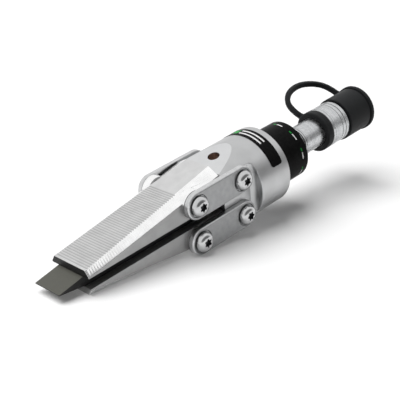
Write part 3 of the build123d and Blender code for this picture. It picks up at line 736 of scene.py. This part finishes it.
# %% Bosses, screw holes and the finishes of a jaw
def rod_across(x, z, y_from, y_to, radius):
    """A plain round solid that runs across the tool."""
    length = abs(y_to - y_from)
    side = 1 if y_to > y_from else -1
    return moved(turned([(0, 0), (0, radius), (length, radius), (length, 0)]), outward(x, y_from, z, side))


JAW_FINISHES = ["jaw_steel", "bevel_steel_painted_highlight", "side_steel_painted_shade", "black_wedge_steel"]
OUTER_FINISH, BEVEL_HIGHLIGHT_FINISH, SIDE_SHADE_FINISH, BLACK_SHADE_FINISH = range(4)


def jaw_finish(face, level):
    """Which finish a face has, from where it lies and how it leans before the lower jaw is mirrored."""
    x, y, z = face.calc_center_median()
    depth = jaw_outer(x) - z
    # Painted shade: black on the upper jaw's front face and inside the trough, the darker side finish on the lower
    # jaw's front.
    if face.normal.x < -0.7 and x < JAW_FRONT_X + 1:
        return BLACK_SHADE_FINISH if level > 0 else SIDE_SHADE_FINISH
    if abs(y) < CHANNEL_HALF and depth > JAW_WALL / 2:
        return BLACK_SHADE_FINISH
    # Boss tops and slanted faces get the much lighter bevel finish, a painted highlight.
    on_boss = abs(math.hypot(x - LINK_FRONT_X, z - LINK_Z) - LINK_WIDTH / 2) < 0.1
    slanted = 0.3 < abs(face.normal.y) < 0.93
    if face.normal.z > 0.3 and (on_boss or slanted):
        return BEVEL_HIGHLIGHT_FINISH
    # Faces below the outer face get the darker side finish, painted shade.
    return OUTER_FINISH if depth < 1 else SIDE_SHADE_FINISH


def jaw(level, name, body):
    mesh = cut_ridges(plain_jaw())
    for side in (1, -1):
        boss = rod_across(LINK_FRONT_X, LINK_Z, side * (CHANNEL_HALF + 2), side * SIDE_FLAT, LINK_WIDTH / 2)
        mesh = combined(mesh, boss, "UNION")
    for side in (1, -1):
        inner, outer = side * (CHANNEL_HALF - 1), side * (SIDE_FLAT + 1)
        hole = rod_across(LINK_FRONT_X, LINK_Z, inner, outer, THREAD_RADIUS)
        mesh = combined(mesh, hole, "DIFFERENCE")
    for face in mesh.faces:
        face.material_index = jaw_finish(face, level)
    if level < 0:
        moved(mesh, Matrix.Scale(-1, 4, (0, 0, 1)))
        bmesh.ops.reverse_faces(mesh, faces=mesh.faces)
    finish_piece(mesh, name + "_shell", name, body, *JAW_FINISHES)


jaw(1, "upper_jaw", "upper_jaw_body")
jaw(-1, "lower_jaw", "lower_jaw_body")

# %% [markdown]
# ## The wedge
# A wedge is four corners in side view, drawn out to its width. A small bevel keeps its edges from
# looking cut from paper. At its heel it has the socket for the piston's rod and a cross hole for the
# pin, which the boolean takes out, because they show when the wedge has been driven forward.

# %% The wedge
WEDGE_TIP_EDGE = 0.6
ROD_RADIUS = 8.0
ROD_SOCKET = 16.1
PIN_RADIUS = 2.52
PIN_FROM_HEEL = 8.0


def wedge_face(x):
    """Height of the wedge's sloping face above the axis."""
    return jaw_outer(x) - JAW_WALL - SLIDING_GAP * math.sqrt(1 + JAW_SLOPE ** 2)


def wedge():
    half = WEDGE_WIDTH / 2
    tip_x = JAW_FRONT_X - (wedge_face(JAW_FRONT_X) - WEDGE_TIP_EDGE / 2) / JAW_SLOPE
    heel = wedge_face(HEEL_X)
    outline = [(tip_x, -WEDGE_TIP_EDGE / 2), (HEEL_X, -heel), (HEEL_X, heel), (tip_x, WEDGE_TIP_EDGE / 2)]
    mesh = bmesh.new()
    side = mesh.faces.new([mesh.verts.new((x, -half, z)) for x, z in outline])
    pulled_out(mesh, [side], (0, WEDGE_WIDTH, 0))
    softened(tidy(mesh), mesh.edges[:], 0.25, 3)
    socket = turned([(HEEL_X - ROD_SOCKET, 0), (HEEL_X - ROD_SOCKET, ROD_RADIUS + 0.02),
                     (HEEL_X + 1, ROD_RADIUS + 0.02), (HEEL_X + 1, 0)])
    mesh = combined(mesh, socket, "DIFFERENCE")
    pin_hole = rod_across(HEEL_X - PIN_FROM_HEEL, 0, -half - 1, half + 1, PIN_RADIUS)
    mesh = combined(mesh, pin_hole, "DIFFERENCE")
    finish_piece(mesh, "wedge_blade", "wedge", "wedge_drive", "black_wedge_steel")


wedge()

# %% [markdown]
# ## The links
# A link is a plate with round ends. A circle whose two halves are pulled apart gives that outline, an
# extrusion gives its thickness, and a wide rounded bevel gives the soft rim that such a forging has;
# the rim's lighter finish is a painted highlight and the faces' darker one painted shade. A
# lathe-turned cutter makes each screw hole with a shallow dish around it, so that the screw's head
# sits in a dark ring.

# %% One link
LINK_RIM = 1.15
DISH_RADIUS = 7.9
DISH_RIM = DISH_RADIUS + 0.3
DISH_DEPTH = 0.7
SHOULDER_RADIUS = 5.0
LINK_HOLE = SHOULDER_RADIUS + 0.05


def link(side, level, name, body):
    mesh = bmesh.new()
    upright = Matrix.Rotation(math.pi / 2, 4, "Y") @ Matrix.Rotation(math.pi / FINE_STEPS, 4, "Z")
    bmesh.ops.create_circle(mesh, cap_ends=True, radius=LINK_WIDTH / 2, segments=FINE_STEPS, matrix=upright)
    for vertex in mesh.verts:
        vertex.co.y += math.copysign(LINK_SPAN / 2, vertex.co.y)
    outer = pulled_out(mesh, mesh.faces[:], (LINK_THICKNESS, 0, 0))
    tidy(mesh)
    rim = [edge for edge in mesh.edges if all(vertex in outer for vertex in edge.verts)]
    softened(mesh, rim, LINK_RIM, 5)
    inner_rim = [edge for edge in mesh.edges if all(abs(vertex.co.x) < 0.001 for vertex in edge.verts)]
    softened(mesh, inner_rim, EDGE_BREAK, 2)
    bed = LINK_THICKNESS - DISH_DEPTH
    above = LINK_THICKNESS + 1
    cutter = [(-1, 0), (-1, LINK_HOLE), (bed, LINK_HOLE), (bed, DISH_RADIUS - 0.4),
              (LINK_THICKNESS + 0.2, DISH_RIM), (above, DISH_RIM), (above, 0)]
    for end in (1, -1):
        place = Matrix.Translation((0, end * LINK_SPAN / 2, 0))
        mesh = combined(mesh, moved(turned(cutter), place), "DIFFERENCE")
    for face in mesh.faces:
        centre = face.calc_center_median()
        in_dish = math.hypot(abs(centre.y) - LINK_SPAN / 2, centre.z) < DISH_RIM
        # Rim faces get the lighter finish, a painted highlight; the flat faces the darker one, painted shade.
        face.material_index = int(face.normal.x < 0.97 and not in_dish)
    middle = (LINK_REAR_X + LINK_FRONT_X) / 2
    moved(mesh, outward(middle, side * LINK_INNER, level * LINK_Z, side))
    finish_piece(mesh, name + "_plate", name, body, "link_steel", "link_rim_painted_highlight")


for link_level, level_name in ((1, "upper"), (-1, "lower")):
    for link_side, side_name in ((1, "left"), (-1, "right")):
        link(link_side, link_level, f"{level_name}_link_{side_name}", level_name + "_links")

# %% [markdown]
# ## The shoulder screws
# A button head is a flat disc with one large rounded corner, so the whole screw is one spun chain.
# The six-lobed recess is a circle whose radius swells six times a turn, drawn out to a plug and cut
# from the head. Its rim gets a tiny bevel, which is what glints on a real screw.

# %% One screw and its copies
HEAD_RADIUS = 7.0
HEAD_HEIGHT = 4.0
HEAD_DOME = 3.7
SHOULDER_LENGTH = HEAD_SEAT - SIDE_FLAT
THREAD_LENGTH = SIDE_FLAT - CHANNEL_HALF - 0.4
LOBES = 6
LOBE_MIDDLE = 2.7
LOBE_SWELL = 0.5
LOBE_REACH = LOBE_MIDDLE + LOBE_SWELL
RECESS_DEPTH = 2.4


def extruded_circle(segments, x_from, x_to):
    """A round plug of radius 1 about X, whose outline can be changed before it is used."""
    mesh = bmesh.new()
    bmesh.ops.create_circle(mesh, cap_ends=True, radius=1, segments=segments,
                            matrix=Matrix.Rotation(math.pi / 2, 4, "Y"))
    bmesh.ops.translate(mesh, vec=(x_from, 0, 0), verts=mesh.verts)
    pulled_out(mesh, mesh.faces[:], (x_to - x_from, 0, 0))
    return tidy(mesh)


def shoulder_screw():
    thread_end = -SHOULDER_LENGTH - THREAD_LENGTH
    mesh = turned([
        (thread_end, 0),
        (thread_end, THREAD_RADIUS, 0.5),
        (-SHOULDER_LENGTH, THREAD_RADIUS),
        (-SHOULDER_LENGTH, SHOULDER_RADIUS, 0.3),
        (0, SHOULDER_RADIUS),
        (0, HEAD_RADIUS, 0.2),
        (HEAD_HEIGHT, HEAD_RADIUS, HEAD_DOME),
        (HEAD_HEIGHT, 0),
    ], 72)
    recess = extruded_circle(72, HEAD_HEIGHT - RECESS_DEPTH, HEAD_HEIGHT + 1)
    for vertex in recess.verts:
        radius = LOBE_MIDDLE + LOBE_SWELL * math.cos(LOBES * math.atan2(vertex.co.z, vertex.co.y))
        vertex.co.y *= radius
        vertex.co.z *= radius
    mesh = combined(mesh, recess, "DIFFERENCE")
    rim = []
    for edge in mesh.edges:
        on_top = all(abs(vertex.co.x - HEAD_HEIGHT) < 0.001 for vertex in edge.verts)
        if on_top and all(math.hypot(*vertex.co.yz) < LOBE_REACH + 0.1 for vertex in edge.verts):
            rim.append(edge)
    softened(mesh, rim, 0.14, 2)
    # Faces inside the recess get the dark finish: painted shade, with some dirt.
    for face in mesh.faces:
        x, y, z = face.calc_center_median()
        in_recess = HEAD_HEIGHT - RECESS_DEPTH - 0.1 < x < HEAD_HEIGHT - 0.2
        face.material_index = int(in_recess and math.hypot(y, z) < LOBE_REACH + 0.05)
    return mesh


def screws(name, body, x, levels):
    """One node's screws, each turned a little differently, as a fitter leaves them."""
    parts = []
    for level in levels:
        for side in (1, -1):
            rest = Matrix.Rotation(math.radians(17 * len(parts) + 8), 4, "X")
            place = outward(x, side * HEAD_SEAT, level * LINK_Z, side)
            parts.append(moved(shoulder_screw(), place @ rest))
    finish_piece(joined(*parts), name + "_set", name, body, "screw_steel", "recess_painted_shade_and_dirt")


screws("rear_link_screws", "body", LINK_REAR_X, (1, -1))
screws("upper_jaw_screws", "upper_jaw_body", LINK_FRONT_X, (1,))
screws("lower_jaw_screws", "lower_jaw_body", LINK_FRONT_X, (-1,))

# %% [markdown]
# ## Nipple and coupler
# Both are lathe work, so each is one spun chain. Shallow grooves are written into the chain by a
# small helper, since real grooves catch light at their edges in a way that bump can't.

# %% The hose nipple
BARREL_REAR = 28.9
NECK_END = BARREL_REAR + 37.0
NOSE_START = NECK_END + 18.6
SPIGOT_RADIUS = 8.4
SPIGOT_LENGTH = 10.0
FLOW_RADIUS = 5.5


def groove(x, radius, width, depth):
    """Four corners of a shallow groove with sloping sides."""
    slope = depth * 0.6
    bed = radius - depth
    return [(x, radius), (x + slope, bed), (x + width - slope, bed), (x + width, radius)]


def coupler_nipple():
    corners = [
        (BARREL_REAR - SPIGOT_LENGTH, FLOW_RADIUS),
        (BARREL_REAR - SPIGOT_LENGTH, SPIGOT_RADIUS),
        (BARREL_REAR, SPIGOT_RADIUS),
        (BARREL_REAR, NECK_RADIUS, 0.3),
    ]
    for start, width, depth in ((3.6, 1.0, 0.5), (6.0, 0.5, 0.3), (8.2, 1.2, 0.55), (10.6, 0.5, 0.3)):
        corners += groove(BARREL_REAR + start, NECK_RADIUS, width, depth)
    corners += [
        (NECK_END, NECK_RADIUS),
        (NECK_END, SPIGOT_RADIUS),
        (NECK_END + SPIGOT_LENGTH, SPIGOT_RADIUS),
        (NECK_END + SPIGOT_LENGTH, FLOW_RADIUS),
    ]
    finish_piece(turned(corners), "nipple_turning", "coupler_nipple", "body", "coupler_steel")


coupler_nipple()

# %% The coupler's collar and nose
NOSE_RADIUS = 12.4
ROOM_RADIUS = NOSE_RADIUS - 3.2
MOUTH_RADIUS = 5.0
SHELF_RADIUS = 6.0
SHELF_LENGTH = 2.0
MOUTH_LENGTH = 4.0
CONE_LENGTH = 4.2


def coupler_body():
    spigot_end = NECK_END + SPIGOT_LENGTH
    corners = [(NECK_END, SPIGOT_RADIUS), (NECK_END, COLLAR_RADIUS, 0.7)]
    for start, width, depth in ((2.4, 0.4, 0.2), (10.8, 0.7, 0.35), (14.2, 0.9, 0.45)):
        corners += groove(NECK_END + start, COLLAR_RADIUS, width, depth)
    corners += [
        (NOSE_START, COLLAR_RADIUS, 0.8),
        (NOSE_START, NOSE_RADIUS),
        (NOSE_END, NOSE_RADIUS, 0.8),
        (NOSE_END, MOUTH_RADIUS, 0.4),
        (NOSE_END - MOUTH_LENGTH, MOUTH_RADIUS),
        (NOSE_END - MOUTH_LENGTH - CONE_LENGTH, ROOM_RADIUS),
        (spigot_end + SHELF_LENGTH, ROOM_RADIUS),
        (spigot_end + SHELF_LENGTH, SHELF_RADIUS),
        (spigot_end, SHELF_RADIUS),
        (spigot_end, SPIGOT_RADIUS),
    ]
    finish_piece(turned(corners), "coupler_turning", "coupler_body", "body", "coupler_steel")


coupler_body()

# %% [markdown]
# ## The two springs
# A steel coil is a small wire circle that is spun about the tool's axis while it also moves along it.
# Both springs sit in the body at one end and are pressed at the other, by the piston or by the valve
# poppet. They can't follow one body; here each is tied to the body and gets its own copy of its
# mesh. The CAD mesh, seen along the axis, says where each spring starts and ends.

# %% Springs from their CAD lengths
COIL_STEPS = 48
WIRE_POINTS = 16


def length_along_axis(node_name):
    """Where a CAD node starts and ends along the tool's axis, in millimetres."""
    places = [(TOOL.inverted() @ vertex.co).x for vertex in frame["nodes"][node_name].data.vertices]
    return min(places), max(places)


def coil_spring(node_name, mean_radius, wire, turns):
    x_low, x_high = length_along_axis(node_name)
    climb = x_high - x_low - wire
    mesh = bmesh.new()
    place = Matrix.Translation((x_low + wire / 2, 0, mean_radius)) @ Matrix.Rotation(math.pi / 2, 4, "X")
    bmesh.ops.create_circle(mesh, cap_ends=False, radius=wire / 2, segments=WIRE_POINTS, matrix=place)
    steps = turns * COIL_STEPS
    bmesh.ops.spin(mesh, geom=mesh.verts[:] + mesh.edges[:], cent=(0, 0, 0), axis=(1, 0, 0),
                   dvec=(climb / steps, 0, 0), angle=turns * FULL_TURN, steps=steps, use_merge=False)
    bmesh.ops.holes_fill(mesh, edges=mesh.edges, sides=WIRE_POINTS)
    piece = finish_piece(tidy(mesh), node_name + "_coil", node_name, "body", "spring_steel")
    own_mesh(piece)


RETURN_WIRE = 2.2
RETURN_COIL_RADIUS = ROD_RADIUS + 1.8 + RETURN_WIRE / 2
RETURN_TURNS = 6
VALVE_WIRE = 1.2
VALVE_COIL_RADIUS = 7.6
VALVE_TURNS = 5
coil_spring("return_spring", RETURN_COIL_RADIUS, RETURN_WIRE, RETURN_TURNS)
coil_spring("coupler_spring", VALVE_COIL_RADIUS, VALVE_WIRE, VALVE_TURNS)

# %% [markdown]
# ## Strap, ring and dust cap
# The rubber cap hangs on a strap that springs from a ring on the nipple. The strap is one length of
# cord, so it follows a smooth NURBS line through a few given points: the same points that the CAD
# model uses. Its section has a rib along each side, as a moulded strap has, so the line gets a small
# ribbed curve as its bevel and is then made a mesh.

# %% The strap's line
STRAP_TILT = math.radians(57)
RING_START = NECK_END - 6.2
CAP_START = NOSE_START + 1.0
CAP_END = CAP_START + 28.0
ROUTE = [
    (RING_START + 3.0, 17.0),
    (RING_START + 0.4, 27.0),
    (RING_START + 9.0, 37.6),
    (RING_START + 24.5, 40.6),
    (RING_START + 38.5, 35.8),
    (CAP_END - 6.0, 27.0),
    (CAP_END - 4.4, 18.4),
]


def strap_point(x, distance):
    """A point of the strap's plane in the tool's millimetres."""
    return Vector((x, distance * math.sin(STRAP_TILT), distance * math.cos(STRAP_TILT)))


route = [TOOL @ strap_point(*point) for point in ROUTE]


def curve_with_spline(name, kind, points):
    """A curve object with one spline through or near the points."""
    data = bpy.data.curves.new(name, "CURVE")
    data.dimensions = "3D"
    spline = data.splines.new(kind)
    spline.points.add(len(points) - 1)
    for control, point in zip(spline.points, points):
        control.co = (*point, 1)
    return new_object(name, data)


def as_mesh(thing):
    """The mesh that a curve object shows, made while the object lasts."""
    bpy.context.view_layer.update()
    depsgraph = bpy.context.evaluated_depsgraph_get()
    return bpy.data.meshes.new_from_object(thing.evaluated_get(depsgraph), depsgraph=depsgraph)


strap_line = curve_with_spline("strap_line", "NURBS", route)
strap_spline = strap_line.data.splines[0]
strap_spline.order_u = 3
strap_spline.use_endpoint_u = True
strap_spline.resolution_u = 16
bare_line = as_mesh(strap_line)

# %% The strap's ribbed section and its mesh
STRAP_DIAMETER = 4.8
RIB_COUNT = 4
RIB_RISE = 0.06
SECTION_POINTS = 40


def rib_radius(angle):
    """The strap's radius in metres: round, with four low ribs."""
    swell = 1 - RIB_RISE + RIB_RISE * math.cos(RIB_COUNT * angle)
    return STRAP_DIAMETER / 2 * swell * MM


section_points = []
for index in range(SECTION_POINTS):
    angle = FULL_TURN * index / SECTION_POINTS
    section_points.append((rib_radius(angle) * math.cos(angle), rib_radius(angle) * math.sin(angle), 0))
section = curve_with_spline("strap_section", "POLY", section_points)
section.data.splines[0].use_cyclic_u = True
strap_line.data.bevel_mode = "OBJECT"
strap_line.data.bevel_object = section
strap_line.data.use_fill_caps = True
strap_mesh = as_mesh(strap_line)
strap_mesh.name = "strap"
strap = new_object("strap", strap_mesh)
for thing in (strap_line, section):
    bpy.data.objects.remove(thing)
strap_mesh.materials.clear()
strap_mesh.materials.append(finishes["cap_rubber"])
strap_shape = bmesh.new()
strap_shape.from_mesh(strap_mesh)
bmesh.ops.remove_doubles(strap_shape, verts=strap_shape.verts, dist=SAME_CORNER * MM)
bmesh.ops.recalc_face_normals(strap_shape, faces=strap_shape.faces)
strap_shape.to_mesh(strap_mesh)
strap_shape.free()
strap_mesh.shade_smooth()
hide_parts("cap_strap")
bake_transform(strap)

# %% The ring on the nipple
RING_RADIUS = 15.5


def strap_root(point, towards, length, flare):
    """A moulded root: the strap's thickness at the strap's end, flaring into the piece it grows from."""
    start = strap_point(*point)
    direction = (start - strap_point(*towards)).normalized()
    radius = STRAP_DIAMETER / 2
    corners = [(-0.3, 0), (-0.3, radius * 0.96, 0.2), (length * 0.35, radius + flare * 0.12),
               (length * 0.7, radius + flare * 0.45), (length, radius + flare), (length, 0)]
    turn_to = direction.to_track_quat("X", "Z").to_matrix().to_4x4()
    return moved(turned(corners, 48), Matrix.Translation(start) @ turn_to)


def strap_ring():
    ring = turned([
        (RING_START, NECK_RADIUS + 0.02, 0.3),
        (RING_START, RING_RADIUS, 1.1),
        (NECK_END, RING_RADIUS, 1.1),
        (NECK_END, NECK_RADIUS + 0.02, 0.3),
    ])
    ring = combined(ring, strap_root(ROUTE[0], ROUTE[1], 3.5, 1.6), "UNION")
    finish_piece(ring, "strap_ring_moulding", "strap_ring", "body", "cap_rubber")


strap_ring()

# %% The dust cap
CAP_RADIUS = 16.6
CAP_RIM_RADIUS = 17.6
CAP_RIM_LENGTH = 3.2
CAP_BORE = NOSE_RADIUS + 0.3
CAP_END_WALL = 4.0


def dust_cap():
    rim = CAP_END - CAP_RIM_LENGTH
    cap = turned([
        (CAP_START, CAP_BORE, 0.5),
        (CAP_START, CAP_RADIUS, 0.8),
        (rim - 1.3, CAP_RADIUS),
        (rim - 1.0, CAP_RADIUS - 0.7, 0.2),
        (rim - 0.2, CAP_RADIUS - 0.7, 0.2),
        (rim, CAP_RIM_RADIUS, 0.7),
        (CAP_END, CAP_RIM_RADIUS, 0.9),
        (CAP_END, CAP_RIM_RADIUS - 3.0, 0.5),
        (CAP_END - 1.4, CAP_RIM_RADIUS - 4.0, 0.5),
        (CAP_END - 1.4, 0),
        (CAP_END - CAP_END_WALL, 0),
        (CAP_END - CAP_END_WALL, CAP_BORE, 0.8),
    ])
    cap = combined(cap, strap_root(ROUTE[-1], ROUTE[-2], 3.4, 1.6), "UNION")
    finish_piece(cap, "cap_moulding", "dust_cap", "cap", "cap_rubber")


dust_cap()

# %% [markdown]
# ## Floor, world and lamp
# The tool lies on a white floor that runs out of the picture. One lamp lights it plainly, and a
# little extra brightness that only the camera and reflections see lifts the bare floor to white and
# leaves the shadow. The lamp is a very broad sun overhead, which makes that shadow soft and keeps it
# near the tool. Reflections don't show it.
# Metal shows what stands around it, so a wide grey card on the near side, which only reflections see,
# shades the middle of the round body and the screws.

# %% Floor
FLOOR_HALF = 4.0
FLOOR_LIFT = 0.1
FLOOR_WHITE = (0.86, 0.86, 0.86, 1)


def studio_piece(name, shape):
    """A stage object with a material whose node tree is still empty."""
    thing = new_object(name, as_data(name, shape))
    paint = bpy.data.materials.new(name + "_paint")
    paint.use_nodes = True
    paint.node_tree.nodes.clear()
    thing.data.materials.append(paint)
    return thing


def seen_directly(tree):
    """1 for rays from the camera, a reflection or a transmission, else 0."""
    path = add(tree, "ShaderNodeLightPath")
    seen = maths(tree, "MAXIMUM", path.outputs["Is Camera Ray"], path.outputs["Is Glossy Ray"])
    return maths(tree, "MAXIMUM", seen, path.outputs["Is Transmission Ray"])


floor_shape = bmesh.new()
bmesh.ops.create_grid(floor_shape, x_segments=1, y_segments=1, size=FLOOR_HALF)
floor_tree = studio_piece("floor", floor_shape).active_material.node_tree
matte = add(floor_tree, "ShaderNodeBsdfDiffuse", {"Color": FLOOR_WHITE})
lifted = maths(floor_tree, "MULTIPLY", seen_directly(floor_tree), FLOOR_LIFT)
lift = add(floor_tree, "ShaderNodeEmission", {"Strength": lifted})
both = add(floor_tree, "ShaderNodeAddShader", {0: matte.outputs[0], 1: lift.outputs[0]})
add(floor_tree, "ShaderNodeOutputMaterial", {"Surface": both.outputs[0]})

# %% World
WORLD_LIGHT = 0.1
world = bpy.data.worlds.new("studio")
bpy.context.scene.world = world
world.use_nodes = True
world_tree = world.node_tree
backdrop = world_tree.nodes["Background"]
strength = remap(world_tree, seen_directly(world_tree), WORLD_LIGHT, 1.0, 0.0, 1.0)
world_tree.links.new(strength, backdrop.inputs["Strength"])
backdrop.inputs["Color"].default_value = (1, 1, 1, 1)

# %% The lamp
MIDDLE = TOOL @ Vector((-50, 0, 0))
SUN_DIRECTION = (-0.28, 0.38, 1.0)
SUN_STRENGTH = 3.6
SUN_WIDTH = math.radians(60)


def aim(thing, direction, distance):
    """Puts a thing in a direction from the tool's middle and turns it to the tool."""
    look_at(thing, MIDDLE + Vector(direction).normalized() * distance, MIDDLE)


sun_data = bpy.data.lights.new("key", "SUN")
sun_data.energy = SUN_STRENGTH
sun_data.angle = SUN_WIDTH
sun = new_object("key", sun_data)
sun.visible_glossy = False
aim(sun, SUN_DIRECTION, 1.0)

# %% The grey card on the near side
CARD_DIRECTION = (0.10, -0.95, 0.30)
CARD_DISTANCE = 1.2
CARD_RADIUS = 0.9
CARD_STRETCH = 2.0
CARD_MIDDLE = 0.4
CARD_MIDDLE_TONE = 0.2

card_shape = bmesh.new()
bmesh.ops.create_circle(card_shape, cap_ends=True, radius=CARD_RADIUS, segments=48)
bmesh.ops.scale(card_shape, vec=(CARD_STRETCH, 1, 1), verts=card_shape.verts)
card = studio_piece("card", card_shape)
card_tree = card.active_material.node_tree
aim(card, CARD_DIRECTION, CARD_DISTANCE)
for ray in ("camera", "diffuse", "transmission", "shadow", "volume_scatter"):
    setattr(card, "visible_" + ray, False)
card_place = add(card_tree, "ShaderNodeTexCoord").outputs["Object"]
narrowed = {"Vector": card_place, "Scale": (1 / CARD_STRETCH, 1, 1)}
card_place = add(card_tree, "ShaderNodeMapping", narrowed).outputs["Vector"]
from_middle = add(card_tree, "ShaderNodeVectorMath", {0: card_place}, operation="LENGTH").outputs["Value"]
card_tone = remap(card_tree, from_middle, CARD_MIDDLE_TONE, 1.0, CARD_MIDDLE, CARD_RADIUS)
card_glow = add(card_tree, "ShaderNodeEmission", {"Strength": card_tone})
add(card_tree, "ShaderNodeOutputMaterial", {"Surface": card_glow.outputs[0]})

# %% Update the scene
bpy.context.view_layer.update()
